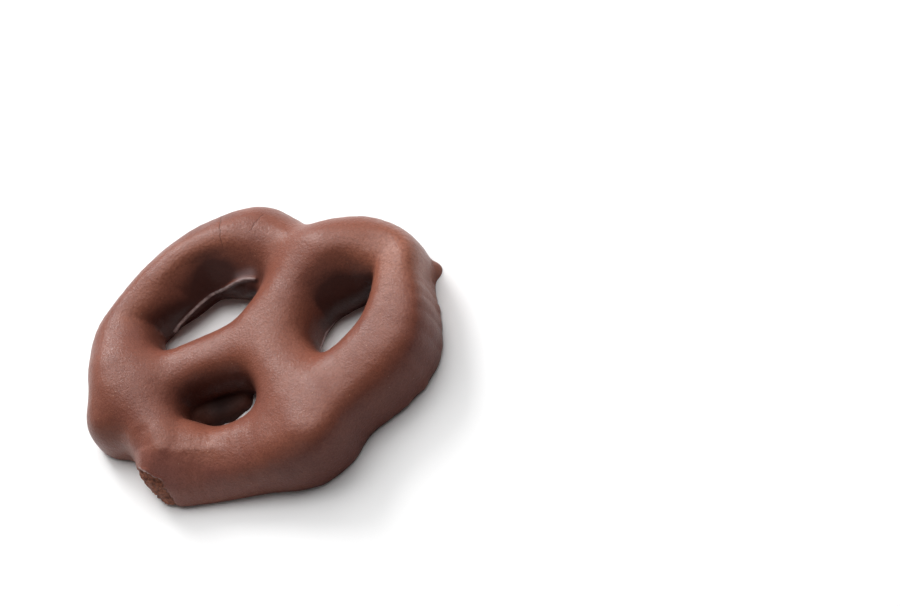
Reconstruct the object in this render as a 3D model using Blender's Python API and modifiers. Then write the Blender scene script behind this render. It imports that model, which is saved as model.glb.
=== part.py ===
"""A chocolate covered pretzel, lying flat.

One rope of dough is looped twice, crossed at the middle and pressed onto its own
belly, then dipped whole. The coat fills every fold between the strands, so the piece
is one solid with three holes, a domed top and a flat underside.

Metres, +Z up. +X is the pretzel's right, +Y points to the notch between its lobes.
The origin is at the middle of the underside.
"""

import bpy
import bmesh
import numpy as np

MM = 0.001

# ---- driving sizes, in millimetres ----------------------------------------------------
WIDTH = 50.0            # over both lobes; the route below is drawn for this width
WAIST_IN = 0.33         # height of the coat's widest line facing a hole, as a share of the ridge
WAIST_OUT = 0.09        # the same around the outside
FOOT_IN = 0.87          # half width of the foot facing a hole, as a share of the waist's
FOOT_OUT = 0.955        # the same around the outside
FULLNESS = 2.4          # how full the section's shoulders are; 2 would be an ellipse
CHANGE_OVER = 2.5       # half the width of the band where the one section turns into the other
FILLET = 1.1            # how far the coat fills the fold between two strands
BEAD_FILLET = 0.35      # the same between a bead and the foot
SUBDIVISIONS = 5        # straight pieces between two stations of the rope
TUBE_FACETS = 4         # bevel resolution of the first tubes
TUBE_BELOW = 2.6        # how far the lower one reaches below the table
VOXEL = 0.75            # grid of the fused skin
SKIN_TRIANGLES = 9600   # of the whole skin, before its underside is cut flat
UNDER = 3.0             # how deep the skin's round lower side is
SPARE = 1.2             # straight wall below the cut, so that the cut edge is clean
RELAX_STEPS = 6
EVEN_STEPS = 3          # rounds of evening out the skin's triangles
SOFTEN_STEPS = 3        # last rounds, which round the creases between strands

# The dough rope's route: station, x, y, half width, ridge height. It runs from the left
# end over the crossing, round the right lobe, along the belly, round the left lobe and
# back over the crossing to the right end.
ROUTE = (
    ("end_left",          -16.3, -14.3, 4.1, 7.2),
    ("arm_left",           -9.9,  -6.6, 4.0, 7.5),
    ("cross_low",           1.0,   1.8, 4.6, 7.8),
    ("twist_low",           3.5,  10.0, 4.4, 8.1),
    ("notch_right",         5.4,  14.2, 5.6, 8.6),
    ("lobe_right_top",      9.3,  16.8, 5.8, 8.7),
    ("lobe_right_corner",  14.7,  16.7, 4.4, 8.3),
    ("lobe_right_high",    17.1,  13.4, 3.9, 8.5),
    ("lobe_right_side",    19.3,   4.7, 5.7, 8.9),
    ("lobe_right_low",     14.6,  -4.1, 5.7, 8.3),
    ("belly_right",        10.8, -10.3, 5.9, 7.1),
    ("belly_mid_right",     1.5, -15.9, 5.0, 5.9),
    ("belly_mid",          -5.1, -17.4, 5.6, 7.4),
    ("belly_mid_left",     -7.2, -16.5, 4.5, 8.1),
    ("belly_left",        -16.3,  -8.9, 4.8, 8.7),
    ("lobe_left_low",     -19.4,  -4.0, 5.0, 8.6),
    ("lobe_left_side",    -20.0,   0.4, 4.1, 8.2),
    ("lobe_left_high",    -16.9,   6.9, 5.0, 8.5),
    ("lobe_left_corner",  -13.5,  11.8, 5.3, 8.4),
    ("lobe_left_top",      -8.1,  14.6, 6.4, 8.0),
    ("notch_left",         -5.7,  15.1, 5.6, 7.2),
    ("twist_high",          0.7,  13.3, 4.7, 7.3),
    ("cross_high",          1.4,   3.0, 4.5, 7.7),
    ("arm_right",           7.0,  -3.2, 4.9, 8.1),
    ("end_right",          13.3,  -9.4, 4.6, 8.1),
)
# A strand is a run of the rope that the coat joins to the others with a fillet.
STRANDS = (
    ("end_left", "notch_right"),
    ("notch_right", "belly_right"),
    ("belly_right", "belly_left"),
    ("belly_left", "notch_left"),
    ("notch_left", "end_right"),
)
# Beads of chocolate at the foot: centre x, y, z and radius. The first is the nub at the
# right lobe, the others make the thin pool in the lower hole.
BEADS = (
    (18.5, 18.1, -0.2, 1.4),
    (-0.9, -6.4, -0.3, 1.5),
    (-2.3, -7.9, -0.4, 1.9),
    (-4.4, -8.9, -0.6, 2.25),
    (-6.6, -9.3, -0.4, 2.0),
)
# A chipped place at the foot of the belly: centre x, y, z and radius of the scallop.
CHIP = (-11.3, -24.6, 0.4, 4.6)

NAME = "pretzel"
STATION = {row[0]: i for i, row in enumerate(ROUTE)}


def route_curve():
    """Points x, y, half width and ridge height on a smooth curve through the stations."""
    rows = np.array([row[1:] for row in ROUTE])
    rows = np.vstack([2 * rows[0] - rows[1], rows, 2 * rows[-1] - rows[-2]])
    out = []
    for i in range(1, len(rows) - 2):
        a, b, c, d = rows[i - 1:i + 3]
        for step in range(SUBDIVISIONS):
            u = step / SUBDIVISIONS
            out.append(0.5 * (2 * b + (c - a) * u + (2 * a - 5 * b + 4 * c - d) * u ** 2
                              + (3 * b - a - 3 * c + d) * u ** 3))
    out.append(rows[-2])
    return np.array(out)


CURVE = route_curve()
LOOP = CURVE[STATION["notch_right"] * SUBDIVISIONS:STATION["notch_left"] * SUBDIVISIONS + 1, :2]


def facing_holes(points, flat):
    """0 outside the closed line of the lobes and the belly, 1 inside it, and between the two
    close to that line. flat holds the points' distances to the route's straight pieces."""
    x, y = points[:, None, 0], points[:, None, 1]
    ax, ay = LOOP[:, 0], LOOP[:, 1]
    bx, by = np.roll(ax, -1), np.roll(ay, -1)
    straddles = (ay > y) != (by > y)
    with np.errstate(divide="ignore", invalid="ignore"):
        crossing = ax + (bx - ax) * (y - ay) / (by - ay)
    inside = (straddles & (x < crossing)).sum(1) % 2 == 1
    away = flat[:, STATION["notch_right"] * SUBDIVISIONS:STATION["notch_left"] * SUBDIVISIONS].min(1)
    share = np.clip(0.5 + np.where(inside, away, -away) / (2 * CHANGE_OVER), 0, 1)
    return share * share * (3 - 2 * share)


def blended(gaps, fillet):
    """The union of several fields, with a fillet where two of them meet."""
    gaps = np.stack(gaps, 1)
    near = gaps.min(1)
    return near - fillet * np.log(np.exp(-(gaps - near[:, None]) / fillet).sum(1))


def coat_height_field(points):
    """About the distance in mm from each point to the coat's surface, negative inside."""
    a, b = CURVE[:-1], CURVE[1:]
    run = b[:, :2] - a[:, :2]
    length = (run ** 2).sum(1)
    off_x = points[:, None, 0] - a[None, :, 0]
    off_y = points[:, None, 1] - a[None, :, 1]
    u = np.clip((off_x * run[:, 0] + off_y * run[:, 1]) / length, 0, 1)
    flat2 = (off_x - u * run[:, 0]) ** 2 + (off_y - u * run[:, 1]) ** 2
    half = a[:, 2] + u * (b[:, 2] - a[:, 2])
    ridge = a[:, 3] + u * (b[:, 3] - a[:, 3])
    inner = facing_holes(points, np.sqrt(flat2))[:, None]
    waist = (WAIST_OUT + inner * (WAIST_IN - WAIST_OUT)) * ridge
    foot = FOOT_OUT + inner * (FOOT_IN - FOOT_OUT)
    z = points[:, None, 2]
    rise = np.maximum(z - waist, 0) / (ridge - waist)
    tuck2 = (np.clip(waist - z, 0, waist) / waist) ** 2 * (1 - foot ** 2)
    drop = np.maximum(-z - SPARE, 0) / UNDER
    across = flat2 + half ** 2 * (tuck2 + drop ** 2) + 1e-9
    gap = (across ** (FULLNESS / 2) + (half * rise) ** FULLNESS) ** (1 / FULLNESS) - half
    strands = [gap[:, STATION[s] * SUBDIVISIONS:STATION[e] * SUBDIVISIONS].min(1) for s, e in STRANDS]
    fused = blended(strands, FILLET)
    beads = [np.linalg.norm(points - np.array(bead[:3]), axis=1) - bead[3] for bead in BEADS]
    fused = blended([fused, *beads], BEAD_FILLET)
    chip = CHIP[3] - np.linalg.norm(points - np.array(CHIP[:3]), axis=1)
    return np.maximum(fused, chip)


def relax(mesh, steps):
    """Moves each point of a mesh along the field's slope onto the coat's surface."""
    count = len(mesh.vertices)
    flat = np.empty(count * 3, np.float32)
    mesh.vertices.foreach_get("co", flat)
    points = flat.reshape(-1, 3).astype(float) / MM
    reach = 0.02
    for _ in range(steps):
        value = coat_height_field(points)
        slope = np.stack([
            (coat_height_field(points + reach * axis) - coat_height_field(points - reach * axis)) / (2 * reach)
            for axis in np.eye(3)], 1)
        size = np.maximum((slope ** 2).sum(1), 0.05)
        points -= np.clip(value / size, -0.8, 0.8)[:, None] * slope
    mesh.vertices.foreach_set("co", (points * MM).astype(np.float32).ravel())
    mesh.update()


def even_out(mesh):
    """Draws each point halfway to the middle of its neighbours."""
    bm = bmesh.new()
    bm.from_mesh(mesh)
    bmesh.ops.smooth_vert(bm, verts=bm.verts, factor=0.5,
                          use_axis_x=True, use_axis_y=True, use_axis_z=True)
    bm.to_mesh(mesh)
    bm.free()


def evaluated_mesh(obj):
    depsgraph = bpy.context.evaluated_depsgraph_get()
    return bpy.data.meshes.new_from_object(obj.evaluated_get(depsgraph))


def swap_for_mesh(obj, name, collection):
    """A new mesh object from what the object's modifiers or bevel make."""
    mesh = evaluated_mesh(obj)
    new = bpy.data.objects.new(name, mesh)
    new.matrix_world = obj.matrix_world
    collection.objects.link(new)
    bpy.data.objects.remove(obj, do_unlink=True)
    return new


def rope_tube(collection):
    """Two tubes with round ends, as wide as the coat: one up at the ridge, one below the table."""
    curve = bpy.data.curves.new("rope", "CURVE")
    curve.dimensions = "3D"
    curve.bevel_depth = MM
    curve.bevel_resolution = TUBE_FACETS
    curve.use_fill_caps = True
    # each end tapers over half its width, which rounds it
    first, last = CURVE[0], CURVE[-1]
    head = (first[:2] - CURVE[1][:2]) / np.linalg.norm(first[:2] - CURVE[1][:2])
    tail = (last[:2] - CURVE[-2][:2]) / np.linalg.norm(last[:2] - CURVE[-2][:2])
    rows = []
    for share in (0.95, 0.75, 0.45):
        rows.append((*(first[:2] + head * first[2] * share), first[2] * (1 - share ** 2) ** 0.5, first[3]))
    rows += [tuple(row) for row in CURVE]
    for share in (0.45, 0.75, 0.95):
        rows.append((*(last[:2] + tail * last[2] * share), last[2] * (1 - share ** 2) ** 0.5, last[3]))
    for upper in (True, False):
        spline = curve.splines.new("POLY")
        spline.points.add(len(rows) - 1)
        for point, (x, y, half, ridge) in zip(spline.points, rows):
            point.co = (x * MM, y * MM, (ridge - half if upper else half - TUBE_BELOW) * MM, 1.0)
            point.radius = half
    tube = bpy.data.objects.new("rope", curve)
    collection.objects.link(tube)
    tube = swap_for_mesh(tube, "rope_mesh", collection)
    bm = bmesh.new()
    bm.from_mesh(tube.data)
    bmesh.ops.remove_doubles(bm, verts=bm.verts, dist=0.00001)
    bmesh.ops.recalc_face_normals(bm, faces=bm.faces)
    bm.to_mesh(tube.data)
    bm.free()
    return tube


def bead_ball(bead, collection):
    bm = bmesh.new()
    bmesh.ops.create_uvsphere(bm, u_segments=16, v_segments=8, radius=bead[3] * MM)
    mesh = bpy.data.meshes.new("bead")
    bm.to_mesh(mesh)
    bm.free()
    ball = bpy.data.objects.new("bead", mesh)
    ball.location = [v * MM for v in bead[:3]]
    collection.objects.link(ball)
    return ball


def joined(first, second):
    """Both meshes as one object, still crossing each other."""
    bm = bmesh.new()
    for obj in (first, second):
        part = obj.data.copy()
        part.transform(obj.matrix_basis)
        bm.from_mesh(part)
        bpy.data.meshes.remove(part)
    bm.to_mesh(first.data)
    bm.free()
    bpy.data.objects.remove(second, do_unlink=True)
    return first


def fused_skin(body, collection):
    """One closed skin over the crossed strands, brought onto the coat's true surface."""
    grid = body.modifiers.new("fuse", "REMESH")
    grid.mode = "VOXEL"
    grid.voxel_size = VOXEL * MM
    grid.adaptivity = 0.0
    body = swap_for_mesh(body, "skin", collection)
    relax(body.data, RELAX_STEPS)
    faces = sum(len(p.vertices) - 2 for p in body.data.polygons)
    thin = body.modifiers.new("thin", "DECIMATE")
    thin.ratio = SKIN_TRIANGLES / faces
    body = swap_for_mesh(body, NAME, collection)
    for _ in range(EVEN_STEPS):
        even_out(body.data)
        relax(body.data, RELAX_STEPS)
    for _ in range(SOFTEN_STEPS):
        even_out(body.data)
    return body


def flat_underside(body, cutters):
    """A block below the table cuts the skin off, and leaves the face it rests on."""
    bm = bmesh.new()
    bmesh.ops.create_cube(bm, size=1.0)
    for v in bm.verts:
        v.co.x *= 2 * WIDTH * MM
        v.co.y *= 2 * WIDTH * MM
        v.co.z = (v.co.z - 0.5) * 6 * UNDER * MM
    mesh = bpy.data.meshes.new("underside_cut")
    bm.to_mesh(mesh)
    bm.free()
    block = bpy.data.objects.new("underside_cut", mesh)
    block.hide_render = True
    block.display_type = "WIRE"
    cutters.objects.link(block)
    cut = body.modifiers.new("underside", "BOOLEAN")
    cut.operation = "DIFFERENCE"
    cut.solver = "EXACT"
    cut.object = block


def chocolate():
    material = bpy.data.materials.new("chocolate_coat")
    material.use_nodes = True
    shader = material.node_tree.nodes["Principled BSDF"]
    shader.inputs["Base Color"].default_value = (0.155, 0.066, 0.045, 1.0)
    shader.inputs["Roughness"].default_value = 0.48
    shader.inputs["Metallic"].default_value = 0.0
    return material


def main():
    for obj in list(bpy.data.objects):
        bpy.data.objects.remove(obj, do_unlink=True)
    parts = bpy.data.collections.new("chocolate_covered_pretzel")
    cutters = bpy.data.collections.new("cutters")
    for collection in (parts, cutters):
        bpy.context.scene.collection.children.link(collection)

    body = rope_tube(parts)
    for bead in BEADS:
        body = joined(body, bead_ball(bead, parts))
    body = fused_skin(body, parts)
    flat_underside(body, cutters)
    body.data.materials.clear()
    body.data.materials.append(chocolate())
    body.data.shade_smooth()


main()
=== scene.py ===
"""The looks of a chocolate covered pretzel, lying flat: its finely modelled coat, the
chocolate itself, a pale floor, soft studio light and the camera."""

import math

import bpy
import bmesh
import numpy as np
from mathutils import Matrix, Vector, noise

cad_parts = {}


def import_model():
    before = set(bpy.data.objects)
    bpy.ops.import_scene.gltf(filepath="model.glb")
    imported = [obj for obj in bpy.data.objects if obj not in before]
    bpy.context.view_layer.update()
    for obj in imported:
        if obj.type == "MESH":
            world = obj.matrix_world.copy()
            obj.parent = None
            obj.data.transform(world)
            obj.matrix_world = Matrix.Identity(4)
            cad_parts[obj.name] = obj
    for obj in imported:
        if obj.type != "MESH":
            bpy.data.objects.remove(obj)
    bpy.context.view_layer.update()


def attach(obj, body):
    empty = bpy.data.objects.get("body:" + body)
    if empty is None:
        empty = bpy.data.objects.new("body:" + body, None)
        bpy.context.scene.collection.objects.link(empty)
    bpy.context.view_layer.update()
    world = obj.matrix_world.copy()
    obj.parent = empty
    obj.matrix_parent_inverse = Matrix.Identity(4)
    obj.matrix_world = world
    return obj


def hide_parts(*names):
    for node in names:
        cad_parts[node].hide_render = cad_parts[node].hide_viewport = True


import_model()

MM = 0.001

# =======================================================================================
# The coat's shape: the same rope, waist, foot and fillets as the construction, in mm
# =======================================================================================
WAIST_IN = 0.33
WAIST_OUT = 0.09
FOOT_IN = 0.87
FOOT_OUT = 0.955
FULLNESS = 2.4
CHANGE_OVER = 2.5
FILLET = 1.1
BEAD_FILLET = 0.35
SUBDIVISIONS = 5
UNDER = 3.0
SPARE = 1.2
TUBE_BELOW = 2.6

# station, x, y, half width, ridge height
ROUTE = (
    ("end_left",          -16.3, -14.3, 4.1, 7.2),
    ("arm_left",           -9.9,  -6.6, 4.0, 7.5),
    ("cross_low",           1.0,   1.8, 4.6, 7.8),
    ("twist_low",           3.5,  10.0, 4.4, 8.1),
    ("notch_right",         5.4,  14.2, 5.6, 8.6),
    ("lobe_right_top",      9.3,  16.8, 5.8, 8.7),
    ("lobe_right_corner",  14.7,  16.7, 4.4, 8.3),
    ("lobe_right_high",    17.1,  13.4, 3.9, 8.5),
    ("lobe_right_side",    19.3,   4.7, 5.7, 8.9),
    ("lobe_right_low",     14.6,  -4.1, 5.7, 8.3),
    ("belly_right",        10.8, -10.3, 5.9, 7.1),
    ("belly_mid_right",     1.5, -15.9, 5.0, 5.9),
    ("belly_mid",          -5.1, -17.4, 5.6, 7.4),
    ("belly_mid_left",     -7.2, -16.5, 4.5, 8.1),
    ("belly_left",        -16.3,  -8.9, 4.8, 8.7),
    ("lobe_left_low",     -19.4,  -4.0, 5.0, 8.6),
    ("lobe_left_side",    -20.0,   0.4, 4.1, 8.2),
    ("lobe_left_high",    -16.9,   6.9, 5.0, 8.5),
    ("lobe_left_corner",  -13.5,  11.8, 5.3, 8.4),
    ("lobe_left_top",      -8.1,  14.6, 6.4, 8.0),
    ("notch_left",         -5.7,  15.1, 5.6, 7.2),
    ("twist_high",          0.7,  13.3, 4.7, 7.3),
    ("cross_high",          1.4,   3.0, 4.5, 7.7),
    ("arm_right",           7.0,  -3.2, 4.9, 8.1),
    ("end_right",          13.3,  -9.4, 4.6, 8.1),
)
STRANDS = (
    ("end_left", "notch_right"),
    ("notch_right", "belly_right"),
    ("belly_right", "belly_left"),
    ("belly_left", "notch_left"),
    ("notch_left", "end_right"),
)
BEADS = (
    (18.5, 18.1, -0.2, 1.4),
    (-0.9, -6.4, -0.3, 1.5),
    (-2.3, -7.9, -0.4, 1.9),
    (-4.4, -8.9, -0.6, 2.25),
    (-6.6, -9.3, -0.4, 2.0),
)
CHIP = (-11.3, -24.6, 0.4, 4.6)          # the broken place at the belly's foot
STATION = {row[0]: i for i, row in enumerate(ROUTE)}


def route_curve():
    rows = np.array([row[1:] for row in ROUTE])
    rows = np.vstack([2 * rows[0] - rows[1], rows, 2 * rows[-1] - rows[-2]])
    out = []
    for i in range(1, len(rows) - 2):
        a, b, c, d = rows[i - 1:i + 3]
        for step in range(SUBDIVISIONS):
            u = step / SUBDIVISIONS
            out.append(0.5 * (2 * b + (c - a) * u + (2 * a - 5 * b + 4 * c - d) * u ** 2
                              + (3 * b - a - 3 * c + d) * u ** 3))
    out.append(rows[-2])
    return np.array(out)


CURVE = route_curve()
PIECES = np.arange(len(CURVE) - 1)      # the route's straight pieces
LOOP_FROM, LOOP_TO = STATION["notch_right"] * SUBDIVISIONS, STATION["notch_left"] * SUBDIVISIONS
LOOP = CURVE[LOOP_FROM:LOOP_TO + 1, :2]
CELL = 4.0              # mm, the squares in which nearby points are worked out together
REACH = 16.5            # mm from a square's middle: farther pieces don't shape its points


def facing_holes(points, away):
    x, y = points[:, None, 0], points[:, None, 1]
    ax, ay = LOOP[:, 0], LOOP[:, 1]
    bx, by = np.roll(ax, -1), np.roll(ay, -1)
    straddles = (ay > y) != (by > y)
    with np.errstate(divide="ignore", invalid="ignore"):
        crossing = ax + (bx - ax) * (y - ay) / (by - ay)
    inside = (straddles & (x < crossing)).sum(1) % 2 == 1
    share = np.clip(0.5 + np.where(inside, away, -away) / (2 * CHANGE_OVER), 0, 1)
    return share * share * (3 - 2 * share)


def blended(gaps, fillet):
    gaps = np.stack(gaps, 1)
    near = gaps.min(1)
    return near - fillet * np.log(np.exp(-(gaps - near[:, None]) / fillet).sum(1))


# Places where the coat set with a firmer shoulder and a steeper wall: x, y, reach, share
FIRM = (
    (20.5, 9.0, 5.0, 1.0),
    (17.5, 17.0, 3.5, 0.7),
    (17.0, -8.0, 4.5, 0.8),
    (7.0, -17.0, 3.5, 0.5),
)
# Far walls of the upper holes, which fall away straight from the ridge: x, y, reach, share
LEAN = (
    (-14.0, 6.2, 2.6, 0.8),
    (-9.6, 9.4, 3.4, 1.0),
    (-4.6, 10.4, 2.8, 1.0),
    (9.4, 12.0, 3.4, 1.0),
    (7.2, 9.2, 2.4, 0.9),
)
# Outer walls that do the same, at the belly and more gently along the left arc: x, y, reach, share
SLOPING = (
    (-2.5, -19.5, 4.2, 0.75),
    (-16.0, 11.0, 5.0, 0.30),
    (-21.0, 1.0, 4.0, 0.20),
)


def coat_field_block(points, near):
    a, b = CURVE[:-1][near], CURVE[1:][near]
    run = b[:, :2] - a[:, :2]
    length = (run ** 2).sum(1)
    off_x = points[:, None, 0] - a[None, :, 0]
    off_y = points[:, None, 1] - a[None, :, 1]
    u = np.clip((off_x * run[:, 0] + off_y * run[:, 1]) / length, 0, 1)
    flat2 = (off_x - u * run[:, 0]) ** 2 + (off_y - u * run[:, 1]) ** 2
    half = a[:, 2] + u * (b[:, 2] - a[:, 2])
    ridge = a[:, 3] + u * (b[:, 3] - a[:, 3])
    on_loop = (near >= LOOP_FROM) & (near < LOOP_TO)
    away = np.sqrt(flat2[:, on_loop].min(1)) if on_loop.any() else np.full(len(points), 50.0)
    inner = facing_holes(points, away)[:, None]
    firm, lean, sloping = [np.clip(sum(share * np.exp(-((points[:, 0] - x) ** 2 + (points[:, 1] - y) ** 2) / (2 * reach ** 2))
                              for x, y, reach, share in table), 0, 1)[:, None] for table in (FIRM, LEAN, SLOPING)]
    full = FULLNESS + 1.3 * firm - 0.85 * (lean * inner + sloping * (1 - inner))
    half = half * (1 - 0.07 * firm)
    waist = (WAIST_OUT + inner * (WAIST_IN - WAIST_OUT)) * ridge
    foot = FOOT_OUT + inner * (FOOT_IN - FOOT_OUT)
    z = points[:, None, 2]
    rise = np.maximum(z - waist, 0) / (ridge - waist)
    tuck2 = (np.clip(waist - z, 0, waist) / waist) ** 2 * (1 - foot ** 2)
    drop = np.maximum(-z - SPARE, 0) / UNDER
    across = flat2 + half ** 2 * (tuck2 + drop ** 2) + 1e-9
    gap = (across ** (full / 2) + (half * rise) ** full) ** (1 / full) - half
    strands = []
    for start, end in STRANDS:
        own = (near >= STATION[start] * SUBDIVISIONS) & (near < STATION[end] * SUBDIVISIONS)
        if own.any():
            strands.append(gap[:, own].min(1))
    fused = blended(strands, FILLET) if strands else np.full(len(points), 50.0)
    beads = [np.linalg.norm(points - np.array(bead[:3]), axis=1) - bead[3] for bead in BEADS]
    fused = blended([fused, *beads], BEAD_FILLET)
    return np.maximum(fused, CHIP[3] - np.linalg.norm(points - np.array(CHIP[:3]), axis=1))


def coat_field(points):
    """About the distance in mm from each point to the coat's surface, negative inside."""
    out = np.empty(len(points))
    cell = np.floor(points[:, :2] / CELL).astype(int)
    key = cell[:, 0] * 1000 + cell[:, 1]
    order = np.argsort(key, kind="stable")
    starts = np.flatnonzero(np.r_[True, np.diff(key[order]) != 0])
    middle = (CURVE[:-1, :2] + CURVE[1:, :2]) / 2
    for lo, hi in zip(starts, np.r_[starts[1:], len(order)]):
        here = order[lo:hi]
        centre = (cell[here[0]] + 0.5) * CELL
        near = PIECES[((middle - centre) ** 2).sum(1) < REACH ** 2]
        if len(near) == 0:
            near = PIECES[:1]
        for i in range(0, len(here), 4000):
            out[here[i:i + 4000]] = coat_field_block(points[here[i:i + 4000]], near)
    return out


# =======================================================================================
# Mesh helpers
# =======================================================================================
def get_points(mesh):
    flat = np.empty(len(mesh.vertices) * 3, np.float32)
    mesh.vertices.foreach_get("co", flat)
    return flat.reshape(-1, 3).astype(float) / MM


def set_points(mesh, points):
    mesh.vertices.foreach_set("co", (points * MM).astype(np.float32).ravel())
    mesh.update()


def slopes(points, value, reach=0.02):
    return np.stack([(coat_field(points + reach * axis) - value) / reach for axis in np.eye(3)], 1)


def relax(mesh, steps):
    points = get_points(mesh)
    for _ in range(steps):
        value = coat_field(points)
        slope = slopes(points, value)
        size = np.maximum((slope ** 2).sum(1), 0.05)
        points -= np.clip(value / size, -0.8, 0.8)[:, None] * slope
    set_points(mesh, points)


def even_out(mesh, factor=0.5, times=1):
    bm = bmesh.new()
    bm.from_mesh(mesh)
    for _ in range(times):
        bmesh.ops.smooth_vert(bm, verts=bm.verts, factor=factor,
                              use_axis_x=True, use_axis_y=True, use_axis_z=True)
    bm.to_mesh(mesh)
    bm.free()


def swap_for_mesh(obj, name):
    depsgraph = bpy.context.evaluated_depsgraph_get()
    mesh = bpy.data.meshes.new_from_object(obj.evaluated_get(depsgraph))
    new = bpy.data.objects.new(name, mesh)
    bpy.context.scene.collection.objects.link(new)
    bpy.data.objects.remove(obj, do_unlink=True)
    return new


def voxelled(obj, name, size):
    grid = obj.modifiers.new("fuse", "REMESH")
    grid.mode = "VOXEL"
    grid.voxel_size = size * MM
    grid.adaptivity = 0.0
    return swap_for_mesh(obj, name)


def rope_tube():
    curve = bpy.data.curves.new("rope", "CURVE")
    curve.dimensions = "3D"
    curve.bevel_depth = MM
    curve.bevel_resolution = 4
    curve.use_fill_caps = True
    first, last = CURVE[0], CURVE[-1]
    head = (first[:2] - CURVE[1][:2]) / np.linalg.norm(first[:2] - CURVE[1][:2])
    tail = (last[:2] - CURVE[-2][:2]) / np.linalg.norm(last[:2] - CURVE[-2][:2])
    rows = []
    for share in (0.95, 0.75, 0.45):
        rows.append((*(first[:2] + head * first[2] * share), first[2] * (1 - share ** 2) ** 0.5, first[3]))
    rows += [tuple(row) for row in CURVE]
    for share in (0.45, 0.75, 0.95):
        rows.append((*(last[:2] + tail * last[2] * share), last[2] * (1 - share ** 2) ** 0.5, last[3]))
    for upper in (True, False):
        spline = curve.splines.new("POLY")
        spline.points.add(len(rows) - 1)
        for point, (x, y, half, ridge) in zip(spline.points, rows):
            point.co = (x * MM, y * MM, (ridge - half if upper else half - TUBE_BELOW) * MM, 1.0)
            point.radius = half
    tube = bpy.data.objects.new("rope", curve)
    bpy.context.scene.collection.objects.link(tube)
    tube = swap_for_mesh(tube, "rope_mesh")
    bm = bmesh.new()
    bm.from_mesh(tube.data)
    for bead in BEADS:
        bmesh.ops.create_uvsphere(bm, u_segments=16, v_segments=8, radius=bead[3] * MM,
                                  matrix=Matrix.Translation([v * MM for v in bead[:3]]))
    bmesh.ops.remove_doubles(bm, verts=bm.verts, dist=0.00001)
    bmesh.ops.recalc_face_normals(bm, faces=bm.faces)
    bm.to_mesh(tube.data)
    bm.free()
    return tube


FINE = 0.245     # the finished coat's grid, mm


def coat():
    """The fused strands as one fine closed skin, cut flat where it set on the tray."""
    body = voxelled(rope_tube(), "skin", 0.8)
    relax(body.data, 5)
    even_out(body.data)
    relax(body.data, 2)
    body = voxelled(body, "coat", FINE)
    relax(body.data, 3)
    even_out(body.data, times=3)
    sculpt(body.data)
    bm = bmesh.new()
    bm.from_mesh(body.data)
    cut = bmesh.ops.bisect_plane(bm, geom=bm.verts[:] + bm.edges[:] + bm.faces[:], dist=1e-7,
                                 plane_co=(0, 0, 0), plane_no=(0, 0, -1), clear_outer=True)
    rim = [e for e in cut["geom_cut"] if isinstance(e, bmesh.types.BMEdge)]
    bmesh.ops.triangle_fill(bm, use_beauty=True, edges=rim, normal=(0, 0, -1))
    bmesh.ops.recalc_face_normals(bm, faces=bm.faces)
    bm.to_mesh(body.data)
    bm.free()
    mark(body.data)
    return body


# =======================================================================================
# The hand-dipped surface: swells, dents, a chip, wrinkles and cracks
# =======================================================================================
def step(value, lo, hi):
    t = np.clip((value - lo) / (hi - lo), 0, 1)
    return t * t * (3 - 2 * t)


def rolling(points, size, seed, octaves=2):
    """Smooth noise between about -1 and 1, with swells about as wide as size in mm."""
    shift = Vector((seed * 13.7, seed * 7.1, seed * 3.3))
    return np.array([noise.fractal(Vector(p) / size + shift, 1.0, 2.1, octaves) for p in points.tolist()])


def normals_of(mesh):
    flat = np.empty(len(mesh.vertices) * 3, np.float32)
    mesh.vertex_normals.foreach_get("vector", flat)
    return flat.reshape(-1, 3).astype(float)


def edges_of(mesh):
    flat = np.empty(len(mesh.edges) * 2, np.int32)
    mesh.edges.foreach_get("vertices", flat)
    return flat.reshape(-1, 2)


def calmed(points, edges, weight, rounds):
    """Draws points towards their neighbours' mean, each by its own weight."""
    count = len(points)
    degree = np.maximum(np.bincount(edges.ravel(), minlength=count), 1)[:, None]
    for _ in range(rounds):
        total = np.stack([np.bincount(edges[:, 0], points[edges[:, 1], k], count)
                          + np.bincount(edges[:, 1], points[edges[:, 0], k], count) for k in range(3)], 1)
        points = points + weight[:, None] * (total / degree - points)
    return points


# Broad dents (-) and swells (+) of the top: x, y, reach and height, mm
SWELLS = (
    (8.2, 14.6, 2.2, 0.30),        # the right lobe's top, which
    (10.8, 10.6, 2.2, -0.40),      # falls away early into the right hole
    (-9.4, 13.6, 2.2, 0.35),       # the left lobe's top, and
    (-4.6, 8.0, 2.8, -0.50),       # the left hole's far end
    (4.6, -4.0, 2.6, 0.40),        # the right arm below the crossing
    (1.4, 2.2, 2.4, -0.30),        # the crossing itself
    (2.2, -14.0, 2.6, 0.50),       # the belly's crest
    (-4.6, -5.6, 2.0, 0.45),       # the left arm above the lower hole
    (18.8, 16.2, 2.0, 0.40),       # the right lobe's corner
    (16.6, -12.8, 2.2, 0.45),      # its right shoulder
    (14.8, -8.6, 2.0, -0.30),      # the seam of the right end
    (20.6, 11.4, 3.0, 0.30),       # the right lobe's side
    (17.6, 19.0, 2.2, 0.10),
    (-12.4, -16.6, 1.6, -0.30),    # the valley beside the left end
    (-15.0, -10.0, 2.4, -0.30),    # the left end's seam
)
# Places where the coat ran together and lies calm: x, y, reach
CALM = (
    (-3.0, 14.5, 4.0),
    (2.6, 11.0, 3.5),
    (2.2, 3.0, 4.0),
    (8.5, -5.0, 4.0),
    (-12.0, -8.5, 3.5),
    (-11.0, -13.5, 3.0),
)
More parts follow.
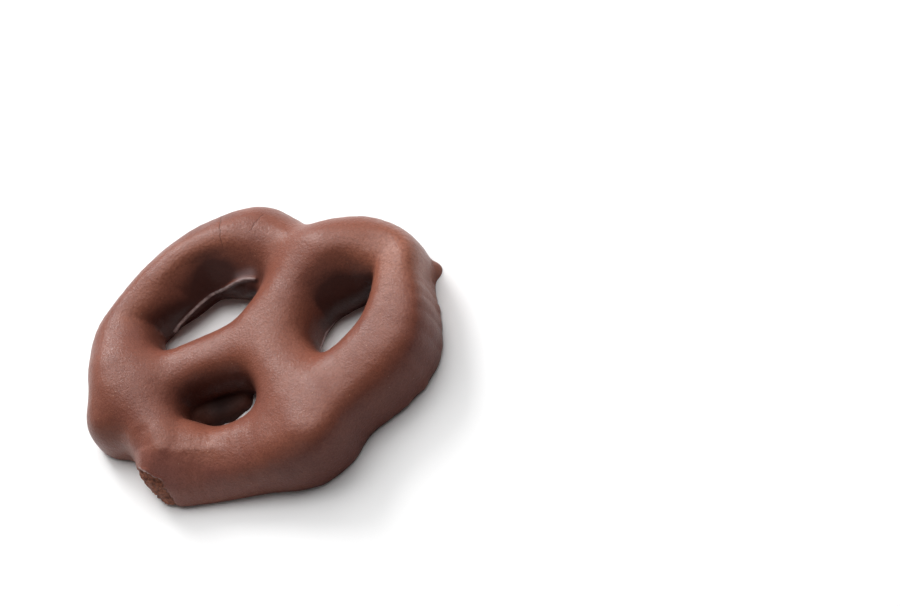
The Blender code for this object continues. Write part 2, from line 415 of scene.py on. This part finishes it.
# The left hole's far wall ends in a thin crest, which rises to the right: x, y, z
CREST = (
    (-15.62, 0.62, 0.70), (-14.33, 2.20, 1.95), (-13.34, 3.46, 2.48), (-11.95, 5.40, 2.96),
    (-10.68, 6.91, 3.29), (-8.26, 7.96, 4.23), (-6.62, 8.58, 5.24), (-5.23, 9.16, 5.67),
    (-4.40, 9.30, 5.80), (-3.60, 9.40, 5.80),
)
# The painted highlight, a glossy run above its right end: x, y, z
PAINTED_SHEEN_RUN = ((-5.8, 9.2, 5.8), (-4.9, 9.6, 6.2), (-4.3, 9.9, 6.3))
# The right hole's thin lower rim: x, y, z
RIM = (
    (7.66, 3.18, 1.12), (7.33, 5.68, 1.00), (7.53, 7.05, 0.60), (7.84, 7.86, 0.66),
    (8.60, 9.03, 0.30), (9.77, 9.95, 0.99), (10.85, 10.79, 1.27),
)
# The chipped wall at the belly's left: the height of its upper border along x
CHIP_TOP = ((-11.6, 1.0), (-10.5, 3.4), (-8.1, 5.8), (-6.3, 5.7), (-4.6, 5.1), (-3.9, 3.0), (-3.5, 0.3))
# The rounded back of the left arc: x, y
ARC_BACK = ((-20.4, -3.6), (-20.4, 0.4), (-19.1, 4.4), (-15.8, 10.0), (-11.4, 13.9), (-7.1, 16.0))
# Arrises where the belly's top turns over into its wall, and where it turns to the left: x, y
BELLY_EDGE = ((-7.0, -18.4), (-5.5, -18.3), (-3.9, -17.9), (-2.0, -17.2), (-0.3, -16.5), (1.6, -15.9), (4.4, -15.3))
LEFT_EDGE = ((-5.9, -18.4), (-6.2, -17.4), (-6.9, -16.2), (-7.7, -14.6))
# Hair cracks of the left lobe, from its outer edge towards the hole: x, y
CRACKS = (
    ((-11.9, 17.6), (-11.24, 16.33), (-10.55, 15.1), (-9.97, 14.11), (-9.3, 12.67), (-8.76, 11.85), (-8.21, 11.07)),
    ((-5.45, 18.9), (-5.59, 17.9), (-5.74, 17.01), (-5.83, 15.58), (-6.08, 14.72), (-6.2, 14.1)),
)
# Upper parts of the holes' far walls that get painted shade too: x, y, reach, share, and
# how level (0 to 1) the surface may be there
SHADED = (
    (-9.2, 9.6, 2.9, 1.0, 0.45),
    (-9.8, 9.5, 2.0, 0.7, 0.62),
    (8.2, 10.6, 3.2, 1.0, 0.45),
)
# Parts of the outer walls with painted cool light, paler and cooler, and with painted shade, darker: x, y, reach,
# share
PAINTED_COOL_LIGHT = (
    (-4.7, -20.0, 2.6, 1.0),
    (1.8, -19.3, 3.2, 0.5),
)
OUTER_PAINTED_SHADE = (
    (12.8, -15.5, 3.5, 0.8),
    (18.0, -11.0, 4.0, 1.0),
    (22.5, -2.0, 4.5, 0.7),
    (24.5, 7.0, 4.0, 1.0),
    (-19.0, -15.0, 4.0, 0.5),
)
# Places on the tops that get painted light, paler and warmer: x, y, reach, share
PAINTED_LIGHT_PLACES = (
    (16.5, 15.5, 3.6, 0.85),
    (4.5, 0.0, 3.4, 0.35),
    (8.5, 16.5, 3.0, 0.15),
    (14.5, -10.5, 3.0, 0.20),
    (-0.5, -15.2, 3.2, 0.25),
    (-2.0, 13.0, 3.0, 0.25),
)
# Small lumps and runs of the foot around the right: x, y, z, reach, height
LUMPS = (
    (22.3, 12.4, 0.6, 0.9, 0.20),
    (24.4, 6.3, 0.5, 0.8, 0.12),
    (24.2, 1.2, 0.6, 0.8, 0.20),
    (22.7, -1.9, 0.7, 0.6, 0.22),
    (21.9, -3.0, 0.4, 0.5, 0.18),
    (20.8, -4.6, 0.6, 0.7, 0.16),
    (18.8, -10.4, 0.5, 0.9, 0.14),
    (15.9, -15.2, 0.5, 0.9, 0.12),
    (19.9, 16.4, 0.9, 0.5, -0.25),
    (-2.6, -22.7, 0.7, 0.9, 0.10),
    (-4.9, -22.8, 0.5, 0.9, 0.30),
    (-12.6, -17.9, 2.0, 0.6, -0.25),
)


def nearest_on(points, line):
    """Distance to a line through named points, its share along it, and the offset vector."""
    line = np.array(line, float)
    a, run = line[:-1], np.diff(line, axis=0)
    length = np.sqrt((run ** 2).sum(1))
    start = np.r_[0, np.cumsum(length)]
    best = np.full(len(points), 1e9)
    share = np.zeros(len(points))
    offset = np.zeros((len(points), line.shape[1]))
    for i in range(len(run)):
        u = np.clip(((points - a[i]) @ run[i]) / length[i] ** 2, 0, 1)
        off = points - a[i] - u[:, None] * run[i]
        d = np.sqrt((off ** 2).sum(1))
        closer = d < best
        best[closer] = d[closer]
        share[closer] = (start[i] + u[closer] * length[i]) / start[-1]
        offset[closer] = off[closer]
    return best, share, offset


def hump(distance, reach):
    return np.exp(-(distance / reach) ** 2 / 2)


def seen_along(points, line):
    """Distance to a line, share along it and height above it as the camera sees them, and
    how close in depth each point is to the line (1 close, 0 far before or behind it)."""
    line = np.array(line, float)
    view = np.array(CAMERA_AT) - line.mean(0)
    view /= np.linalg.norm(view)
    up = np.array([0, 0, 1.0]) - view * view[2]
    up /= np.linalg.norm(up)
    flat = line - (line @ view)[:, None] * view
    distance, share, offset = nearest_on(points - (points @ view)[:, None] * view, flat)
    run = np.r_[0, np.cumsum(np.linalg.norm(np.diff(flat, axis=0), axis=1))]
    depth = points @ view - np.interp(share * run[-1], run, line @ view)
    return distance, share, offset @ up, 1 - step(np.abs(depth), 1.8, 3.0)


def crest_parts(points):
    """The crest of the left hole's far wall, and the foot tucked in below it."""
    distance, share, above, close = seen_along(points, CREST)
    close = close * step(share, 0.0, 0.06)
    tucked = close * step(-above, 0.06, 0.5) * (1 - step(distance, 1.6, 2.6)) * (1 - step(share, 0.84, 0.97))
    return distance, share, close, tucked


def crack_line(points, crack):
    """Signed distance in mm across a hair crack, and how open it is."""
    path = np.array(crack)[::-1]                   # from low y to high y
    y = np.clip(points[:, 1], path[0, 1], path[-1, 1])
    wobble = 0.05 * np.sin(points[:, 1] * 4.1) + 0.03 * np.sin(points[:, 1] * 9.7 + 1.0)
    across = points[:, 0] - np.interp(y, path[:, 1], path[:, 0]) - wobble
    lean = np.interp(y, path[:-1, 1], np.diff(path[:, 0]) / np.diff(path[:, 1]))
    across = across / np.sqrt(1 + lean ** 2)
    ends = step(points[:, 1], path[0, 1], path[0, 1] + 2.2) * (1 - step(points[:, 1], path[-1, 1] - 0.6, path[-1, 1]))
    return across, ends * step(points[:, 2], 3.0, 5.0)


def chip_depth(points):
    """How far in mm a point lies inside the chipped part of the outer wall; negative outside it."""
    top = np.array(CHIP_TOP)
    ragged = 0.28 * rolling(points, 1.1, 8, 2)
    depth = np.minimum(np.interp(points[:, 0], top[:, 0], top[:, 1]) - points[:, 2],
                       np.minimum(points[:, 0] - top[0, 0], top[-1, 0] - points[:, 0])) + ragged
    return np.where(points[:, 1] < -17.6, depth, -9.0)


def sculpt(mesh):
    points, edges = get_points(mesh), edges_of(mesh)
    rounds = (FINE / 0.25) ** -2
    calm = sum(hump(np.hypot(points[:, 0] - x, points[:, 1] - y), reach) for x, y, reach in CALM)
    calm = np.clip(calm, 0, 1) * step(points[:, 2], 4.5, 6.5)
    points = calmed(points, edges, 0.5 * calm, int(90 * rounds))
    raised = np.zeros(len(points))
    for x, y, reach, height in SWELLS:
        raised += height * hump(np.hypot(points[:, 0] - x, points[:, 1] - y), reach)
    points[:, 2] += raised * step(points[:, 2], 3.5, 6.5)
    set_points(mesh, points)
    normal = normals_of(mesh)
    out = -0.05 * np.ones(len(points))
    out += 0.085 * rolling(points, 6.5, 1) + 0.028 * rolling(points, 2.4, 2)
    out += 0.010 * rolling(points, 0.95, 3)
    for x, y, z, reach, height in LUMPS:
        out += height * hump(np.linalg.norm(points - (x, y, z), axis=1), reach)
    # the crest of the left hole's far wall, and the wrinkled foot tucked in below it
    distance, share, close, tucked = crest_parts(points)
    out += close * 0.26 * hump(distance, 0.2) + tucked * (0.05 * rolling(points, 0.9, 4, 2) - 0.35)
    distance, share, above, close = seen_along(points, RIM)
    out += close * 0.16 * hump(distance, 0.2) * step(share, 0.0, 0.06) * (1 - 0.6 * share)
    # the left arc's back
    distance, share, offset = nearest_on(points[:, :2], ARC_BACK)
    out += 0.16 * hump(distance, 1.1) * step(points[:, 2], 4.5, 6.5) * step(share, 0.0, 0.2) * (1 - step(share, 0.8, 1.0))
    # the belly's arrises
    top = step(points[:, 2], 3.6, 5.6)
    distance, share, offset = nearest_on(points[:, :2], BELLY_EDGE)
    ends = top * step(share, 0.0, 0.15) * (1 - step(share, 0.72, 1.0))
    out += ends * 0.12 * hump(distance, 0.5)
    distance, share, offset = nearest_on(points[:, :2], LEFT_EDGE)
    ends = top * step(share, 0.0, 0.2) * (1 - step(share, 0.7, 1.0))
    out += ends * (0.04 * hump(distance, 0.45) - 0.18 * step(-offset[:, 0], 0.2, 1.4) * (1 - step(-offset[:, 0], 2.0, 4.0)))
    # the chip: a granular hollow under a thin raised lip
    depth = chip_depth(points)
    broken = step(depth, -0.05, 0.22)
    out += broken * (0.26 * rolling(points, 0.75, 5, 3) + 0.16 * rolling(points, 2.2, 6, 2) - 0.28)
    out += 0.16 * hump(depth + 0.16, 0.14) * step(points[:, 0], -8.8, -7.6) * step(points[:, 2], 3.4, 4.6)
    for crack in CRACKS:
        across, open_ = crack_line(points, crack)
        out -= 0.035 * hump(across, 0.16) * open_
    set_points(mesh, points + out[:, None] * normal)


def mark(mesh):
    """Attributes that tell the material where the cracks, the chip and the thin rims are, and where it paints light,
    shade, glints and a sheen.
    """
    points = get_points(mesh)

    def keep(name, values):
        layer = mesh.attributes.new(name, "FLOAT", "POINT")
        layer.data.foreach_set("value", np.asarray(values, np.float32))

    for number, crack in enumerate(CRACKS):
        across, open_ = crack_line(points, crack)
        keep("crack_%d" % number, np.clip(across, -3, 3))
        keep("open_%d" % number, open_)
    depth = chip_depth(points)
    keep("broken", step(depth, -0.05, 0.22))
    # where the lip, the crest and the right hole's rim get painted glints
    keep("lip", np.where(points[:, 0] > -8.6, np.abs(depth + 0.10), 3.0) + 2.0 * step(-points[:, 2], -4.4, -3.2))
    crest, share, close, tucked = crest_parts(points)
    keep("crest", crest + 3 * (1 - close))
    keep("crest_along", share)
    keep("tucked", tucked)
    rim, share, _, close = seen_along(points, RIM)
    keep("rim", rim + 0.25 * share + 3 * (1 - close))
    # painted highlight above the crest's right end
    patch, _, _, close = seen_along(points, PAINTED_SHEEN_RUN)
    keep("painted_sheen", hump(patch, 0.50) * close * (1 - tucked))
    # painted shade: how deep a point lies in one of the holes
    normal = normals_of(mesh)
    steep = 1 - step(normal[:, 2], 0.35, 0.95)
    away = np.sqrt(np.min([(points[:, 0] - x) ** 2 + (points[:, 1] - y) ** 2 for x, y in LOOP], axis=0))
    inner = facing_holes(points, away)
    far = 0.35 + 0.65 * step(-normal[:, 1], -0.1, 0.5)
    shade = inner * steep * far * (1 - step(points[:, 2], 5.0, 9.0)) * (0.7 + 0.3 * step(points[:, 1], -1.0, 3.0))
    for x, y, reach, share, level in SHADED:
        shade += (share * hump(np.hypot(points[:, 0] - x, points[:, 1] - y), reach) * inner
                  * (1 - step(normal[:, 2], level, 0.52 + level)) * step(-normal[:, 1], 0.0, 0.4))
    keep("hole_shade", np.clip(shade, 0, 1))
    # painted cool light and painted shade on the outer walls
    painted_cool_light, outer_painted_shade = [np.clip(sum(share * hump(np.hypot(points[:, 0] - x, points[:, 1] - y), reach)
                                 for x, y, reach, share in table), 0, 1) * (1 - inner) for table in (PAINTED_COOL_LIGHT, OUTER_PAINTED_SHADE)]
    keep("painted_cool_light", painted_cool_light * step(1 - normal[:, 2], 0.04, 0.12))
    # painted light just inside the left arc's back, and painted shade outside it
    distance, along, _ = nearest_on(points[:, :2], ARC_BACK)
    ends = step(along, 0.0, 0.15) * (1 - step(along, 0.88, 1.0))
    keep("outer_painted_shade", outer_painted_shade * (1 - step(normal[:, 2], 0.45, 0.85)) + 0.8 * ends * step(distance, 0.6, 2.8) * (1 - inner))
    painted_pale = 0.55 * ends * hump(distance - 1.6, 1.3) * step(inner, 0.35, 0.8)
    keep("thin", (painted_pale + sum(share * hump(np.hypot(points[:, 0] - x, points[:, 1] - y), reach)
                             for x, y, reach, share in PAINTED_LIGHT_PLACES)) * step(points[:, 2], 3.5, 6.0))
    # painted shade: the pool in the lower hole is coloured near black
    keep("pool_shade", hump(np.hypot(points[:, 0] + 3.0, points[:, 1] + 8.2), 3.2) * (1 - step(points[:, 2], 1.8, 2.6)))


# =======================================================================================
# Chocolate
# =======================================================================================
class Nodes:
    def __init__(self, material):
        material.use_nodes = True
        self.tree = material.node_tree
        self.tree.nodes.clear()

    def add(self, kind, **values):
        node = self.tree.nodes.new(kind)
        for key, value in values.items():
            if key.startswith("in_"):
                name = key[3:]
                socket = node.inputs[int(name)] if name.isdigit() else node.inputs[name.replace("_", " ")]
                if isinstance(value, bpy.types.NodeSocket):
                    self.tree.links.new(value, socket)
                else:
                    socket.default_value = value
            else:
                setattr(node, key, value)
        return node

    def math(self, operation, a, b=0.0, c=None, clamp=False):
        node = self.add("ShaderNodeMath", operation=operation, use_clamp=clamp, in_0=a, in_1=b)
        if c is not None:
            if isinstance(c, bpy.types.NodeSocket):
                self.tree.links.new(c, node.inputs[2])
            else:
                node.inputs[2].default_value = c
        return node.outputs[0]

    def mix(self, factor, a, b, blend="MIX"):
        node = self.add("ShaderNodeMix", data_type="RGBA", blend_type=blend)
        for socket, value in ((node.inputs[0], factor), (node.inputs[6], a), (node.inputs[7], b)):
            if isinstance(value, bpy.types.NodeSocket):
                self.tree.links.new(value, socket)
            else:
                socket.default_value = value
        return node.outputs[2]

    def span(self, value, lo, hi, to_lo=0.0, to_hi=1.0, smooth=False):
        node = self.add("ShaderNodeMapRange", interpolation_type="SMOOTHSTEP" if smooth else "LINEAR")
        node.inputs[0].default_value = 0
        self.tree.links.new(value, node.inputs[0])
        for i, v in enumerate((lo, hi, to_lo, to_hi)):
            node.inputs[i + 1].default_value = v
        return node.outputs[0]

    def kept(self, name):
        return self.add("ShaderNodeAttribute", attribute_type="GEOMETRY", attribute_name=name).outputs["Fac"]


def chocolate():
    """Milk chocolate: warm and cool browns that drift into each other, a fine grain in the
    set surface, a few pale specks and pinholes, soft gloss, and painted light, shade, glints and a sheen."""
    material = bpy.data.materials.new("milk_coat")
    n = Nodes(material)
    where = n.add("ShaderNodeTexCoord").outputs["Object"]
    mm = n.add("ShaderNodeMapping", vector_type="POINT", in_Vector=where, in_Scale=(1000, 1000, 1000)).outputs[0]

    above = n.span(n.add("ShaderNodeSeparateXYZ", in_Vector=mm).outputs[2], 0.005, 0.04)

    def share_of(name):
        """A kept share, but none of it on the flat underside."""
        return n.math("MULTIPLY", n.kept(name), above)

    def noise_at(scale, detail=2.0, rough=0.5, distortion=0.0):
        return n.add("ShaderNodeTexNoise", in_Vector=mm, in_Scale=scale, in_Detail=detail,
                     in_Roughness=rough, in_Distortion=distortion).outputs["Fac"]

    def dots(scale, radius, chance):
        """Sparse dots: 1 in the middle of a dot, 0 outside it."""
        cells = n.add("ShaderNodeTexVoronoi", feature="F1", in_Vector=mm, in_Scale=scale, in_Randomness=1.0)
        chosen = n.math("LESS_THAN", n.add("ShaderNodeSeparateColor", in_Color=cells.outputs["Color"]).outputs[0], chance)
        return n.math("MULTIPLY", n.span(cells.outputs["Distance"], radius * scale, radius * scale * 0.35, smooth=True), chosen)

    broad = noise_at(0.13, 2.0)
    patch = noise_at(0.55, 3.0, 0.55)
    mottle = noise_at(2.6, 3.0, 0.6)
    grain = noise_at(7.0, 2.0, 0.6)
    colour = n.mix(n.span(broad, 0.36, 0.64), WARM, COOL)
    colour = n.mix(n.span(patch, 0.35, 0.7, 0.0, 0.45), colour, LIGHT)
    colour = n.mix(n.span(mottle, 0.38, 0.72, 0.0, 0.45), colour, DEEP)
    colour = n.mix(n.span(grain, 0.40, 0.70, 0.0, 0.65), colour, LIGHT)
    colour = n.mix(n.span(noise_at(3.6, 2.0, 0.6), 0.55, 0.75, 0.0, 0.5), colour, DEEP)
    specks = dots(1.1, 0.10, 0.26)
    colour = n.mix(n.math("MULTIPLY", specks, 0.6), colour, SPECK)
    pinholes = dots(0.8, 0.10, 0.12)
    colour = n.mix(n.math("MULTIPLY", pinholes, 0.55), colour, DARK)

    # painted light: paler, warmer patches on the tops and just inside the left arc's back
    colour = n.mix(share_of("thin"), colour, n.mix(n.span(mottle, 0.35, 0.7), PAINTED_LIGHT_TINT, WARM))

    # painted light and shade on the outer walls: paler and cooler, or darker than the top
    colour = n.mix(share_of("painted_cool_light"), colour, PAINTED_COOL_LIGHT_TINT, "MULTIPLY")
    colour = n.mix(share_of("outer_painted_shade"), colour, OUTER_PAINTED_SHADE_TINT, "MULTIPLY")

    # painted shade deep in the holes, on their far walls and on the foot tucked under the crest
    depth = share_of("hole_shade")
    colour = n.mix(n.math("MULTIPLY", n.math("MAXIMUM", depth, share_of("tucked")), 0.93), colour, PAINTED_HOLE_SHADE)
    # painted shade: the pool in the lower hole near black
    colour = n.mix(n.math("MULTIPLY", share_of("pool_shade"), 0.97), colour, POOL_PAINTED_SHADE)

    # painted highlight: a glossy, greyish run at the left hole's far end
    colour = n.mix(n.math("MULTIPLY", share_of("painted_sheen"), 0.7), colour, PAINTED_SHEEN)

    # hair cracks
    crack = None
    for number in range(len(CRACKS)):
        across = n.math("ABSOLUTE", n.kept("crack_%d" % number))
        line = n.math("MULTIPLY", n.span(across, 0.10, 0.02, smooth=True), n.kept("open_%d" % number))
        crack = line if crack is None else n.math("MAXIMUM", crack, line)
    colour = n.mix(n.math("MULTIPLY", crack, 0.55), colour, DARK)

    # the chip shows a coarse, redder break
    broken = share_of("broken")
    crumb = noise_at(2.2, 4.0, 0.7)
    break_colour = n.mix(n.span(crumb, 0.38, 0.60), BREAK_DARK, BREAK_LIGHT)
    colour = n.mix(broken, colour, break_colour)

    # painted highlights: pale glints along the left hole's crest, the right hole's thin rim and the chip's lip
    ragged = n.span(noise_at(1.6, 2.0), 0.3, 0.6, 0.4, 1.0)
    crest = n.math("MULTIPLY", n.span(n.kept("crest"), 0.30, 0.04, smooth=True),
                   n.span(n.kept("crest_along"), 0.0, 0.06, smooth=True))
    crest = n.math("MULTIPLY", crest, n.span(n.kept("crest_along"), 0.55, 1.0, 1.0, 0.5))
    rim = n.span(n.kept("rim"), 0.22, 0.05, smooth=True)
    lip = n.span(n.kept("lip"), 0.22, 0.05, smooth=True)
    painted_pale = n.math("MAXIMUM", n.math("MAXIMUM", crest, n.math("MULTIPLY", rim, 1.0)), n.math("MULTIPLY", lip, 0.35))
    painted_pale = n.math("MULTIPLY", painted_pale, ragged)
    colour = n.mix(n.math("MULTIPLY", painted_pale, 0.80), colour, PAINTED_GLINT)

    height = n.math("MULTIPLY", noise_at(3.1, 3.0, 0.65), 0.075)
    height = n.math("ADD", height, n.math("MULTIPLY", noise_at(1.3, 2.0, 0.5), 0.020))
    height = n.math("SUBTRACT", height, n.math("MULTIPLY", pinholes, 0.03))
    height = n.math("ADD", height, n.math("MULTIPLY", specks, 0.008))
    height = n.math("SUBTRACT", height, n.math("MULTIPLY", crack, 0.03))
    height = n.math("ADD", height, n.math("MULTIPLY", n.math("MULTIPLY", crumb, broken), 0.12))
    bump = n.add("ShaderNodeBump", in_Strength=1.0, in_Distance=0.001, in_Height=height)
    rough = n.span(noise_at(0.35, 2.0), 0.3, 0.7, 0.30, 0.36)
    rough = n.math("ADD", rough, n.span(mottle, 0.3, 0.7, -0.03, 0.05))
    rough = n.math("ADD", rough, n.math("MULTIPLY", broken, 0.30))
    rough = n.math("ADD", rough, n.math("MULTIPLY", share_of("pool_shade"), 0.38))
    rough = n.math("SUBTRACT", rough, n.math("MULTIPLY", painted_pale, 0.10))
    shader = n.add("ShaderNodeBsdfPrincipled", in_Roughness=rough)
    n.tree.links.new(colour, shader.inputs["Base Color"])
    n.tree.links.new(bump.outputs[0], shader.inputs["Normal"])
    shader.inputs["IOR"].default_value = 1.48
    shader.inputs["Specular IOR Level"].default_value = 0.24
    out = n.add("ShaderNodeOutputMaterial")
    n.tree.links.new(shader.outputs[0], out.inputs[0])
    return material


# base colours, linear
WARM = (0.205, 0.062, 0.037, 1.0)
COOL = (0.176, 0.057, 0.041, 1.0)
LIGHT = (0.265, 0.095, 0.061, 1.0)
DEEP = (0.117, 0.035, 0.023, 1.0)
DARK = (0.045, 0.014, 0.010, 1.0)
SPECK = (0.46, 0.27, 0.17, 1.0)
# painted highlight: the glints' colour
PAINTED_GLINT = (0.78, 0.66, 0.65, 1.0)
# painted highlight: the glossy run's colour
PAINTED_SHEEN = (0.34, 0.24, 0.235, 1.0)
# painted shade in the holes
PAINTED_HOLE_SHADE = (0.058, 0.022, 0.0185, 1.0)
# painted cool light and painted shade of the outer walls
PAINTED_COOL_LIGHT_TINT = (1.10, 1.18, 1.38, 1.0)
OUTER_PAINTED_SHADE_TINT = (0.70, 0.66, 0.72, 1.0)
# painted light on the tops
PAINTED_LIGHT_TINT = (0.330, 0.124, 0.076, 1.0)
# painted shade of the pool in the lower hole
POOL_PAINTED_SHADE = (0.020, 0.007, 0.006, 1.0)
BREAK_LIGHT = (0.31, 0.108, 0.058, 1.0)
BREAK_DARK = (0.095, 0.028, 0.018, 1.0)


# =======================================================================================
# Floor, light and camera
# =======================================================================================
def floor():
    bm = bmesh.new()
    bmesh.ops.create_grid(bm, x_segments=4, y_segments=4, size=1.2)
    mesh = bpy.data.meshes.new("floor")
    bm.to_mesh(mesh)
    bm.free()
    obj = bpy.data.objects.new("floor", mesh)
    bpy.context.scene.collection.objects.link(obj)
    material = bpy.data.materials.new("floor_white")
    n = Nodes(material)
    where = n.add("ShaderNodeTexCoord").outputs["Object"]
    fleck = n.add("ShaderNodeTexNoise", in_Vector=where, in_Scale=40.0, in_Detail=2.0).outputs["Fac"]
    colour = n.mix(fleck, (0.92, 0.92, 0.92, 1), (0.94, 0.94, 0.94, 1))
    shader = n.add("ShaderNodeBsdfPrincipled", in_Roughness=0.7)
    n.tree.links.new(colour, shader.inputs["Base Color"])
    shader.inputs["Specular IOR Level"].default_value = 0.2
    out = n.add("ShaderNodeOutputMaterial")
    n.tree.links.new(shader.outputs[0], out.inputs[0])
    mesh.materials.append(material)
    return obj


def area_light(name, azimuth, elevation, distance, size, power, colour=(1, 1, 1)):
    """A soft box that looks at the pretzel from an azimuth (0 at +X, 90 at +Y) and an elevation."""
    data = bpy.data.lights.new(name, "AREA")
    data.shape = "DISK"
    data.size = size
    data.energy = power
    data.color = colour
    obj = bpy.data.objects.new(name, data)
    a, e = math.radians(azimuth), math.radians(elevation)
    way = Vector((math.cos(e) * math.cos(a), math.cos(e) * math.sin(a), math.sin(e)))
    obj.location = way * distance
    obj.rotation_euler = way.to_track_quat("Z", "Y").to_euler()
    bpy.context.scene.collection.objects.link(obj)
    return obj


# One wide, soft source behind and to the left of the piece, built from overlapping round
# panels: azimuth, elevation (degrees), watts and width (m). Hardly anything comes from the front.
LIGHTS = (
    (142, 33, 5.10, 0.30),
    (180, 22, 0.60, 0.50),
    (90, 22, 0.90, 0.50),
    (164, 52, 2.25, 0.50),
    (116, 52, 2.00, 0.50),
    (60, 48, 0.95, 0.50),
    (120, 75, 2.70, 0.50),
    (262, 14, 0.45, 0.36),
)
WORLD = 0.075

CAMERA_AT = (162.8716, -107.1420, 263.9072)              # mm
CAMERA_TURN = (30.5564, 18.1029, 21.4098)                # degrees about x, y, z


def camera():
    """The photo's view of the piece: a 96 mm lens, looking down at about 55 degrees, with a roll."""
    data = bpy.data.cameras.new("camera")
    data.sensor_width = 36.0
    data.lens = 96.0
    data.clip_start = 0.01
    obj = bpy.data.objects.new("camera", data)
    obj.location = Vector(CAMERA_AT) * MM
    obj.rotation_euler = [math.radians(v) for v in CAMERA_TURN]
    bpy.context.scene.collection.objects.link(obj)
    bpy.context.scene.camera = obj
    return obj


def world(strength, colour):
    """An even, pale room."""
    room = bpy.data.worlds.new("room")
    room.use_nodes = True
    back = room.node_tree.nodes["Background"]
    back.inputs["Color"].default_value = (*colour, 1.0)
    back.inputs["Strength"].default_value = strength
    bpy.context.scene.world = room


piece = coat()
piece.name = "pretzel_coat"
piece.data.shade_smooth()
for face in piece.data.polygons:                         # the underside is flat
    if face.normal.z < -0.99 and face.center.z < 0.02 * MM:
        face.use_smooth = False
piece.data.materials.clear()
piece.data.materials.append(chocolate())
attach(piece, "root")
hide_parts("pretzel")
floor()
camera()
world(WORLD, (1.0, 1.0, 1.0))
for number, (azimuth, elevation, power, width) in enumerate(LIGHTS):
    area_light("softbox_%d" % number, azimuth, elevation, 0.9, width, power)

view_settings = bpy.context.scene.view_settings
view_settings.view_transform = "Standard"
view_settings.look = "None"
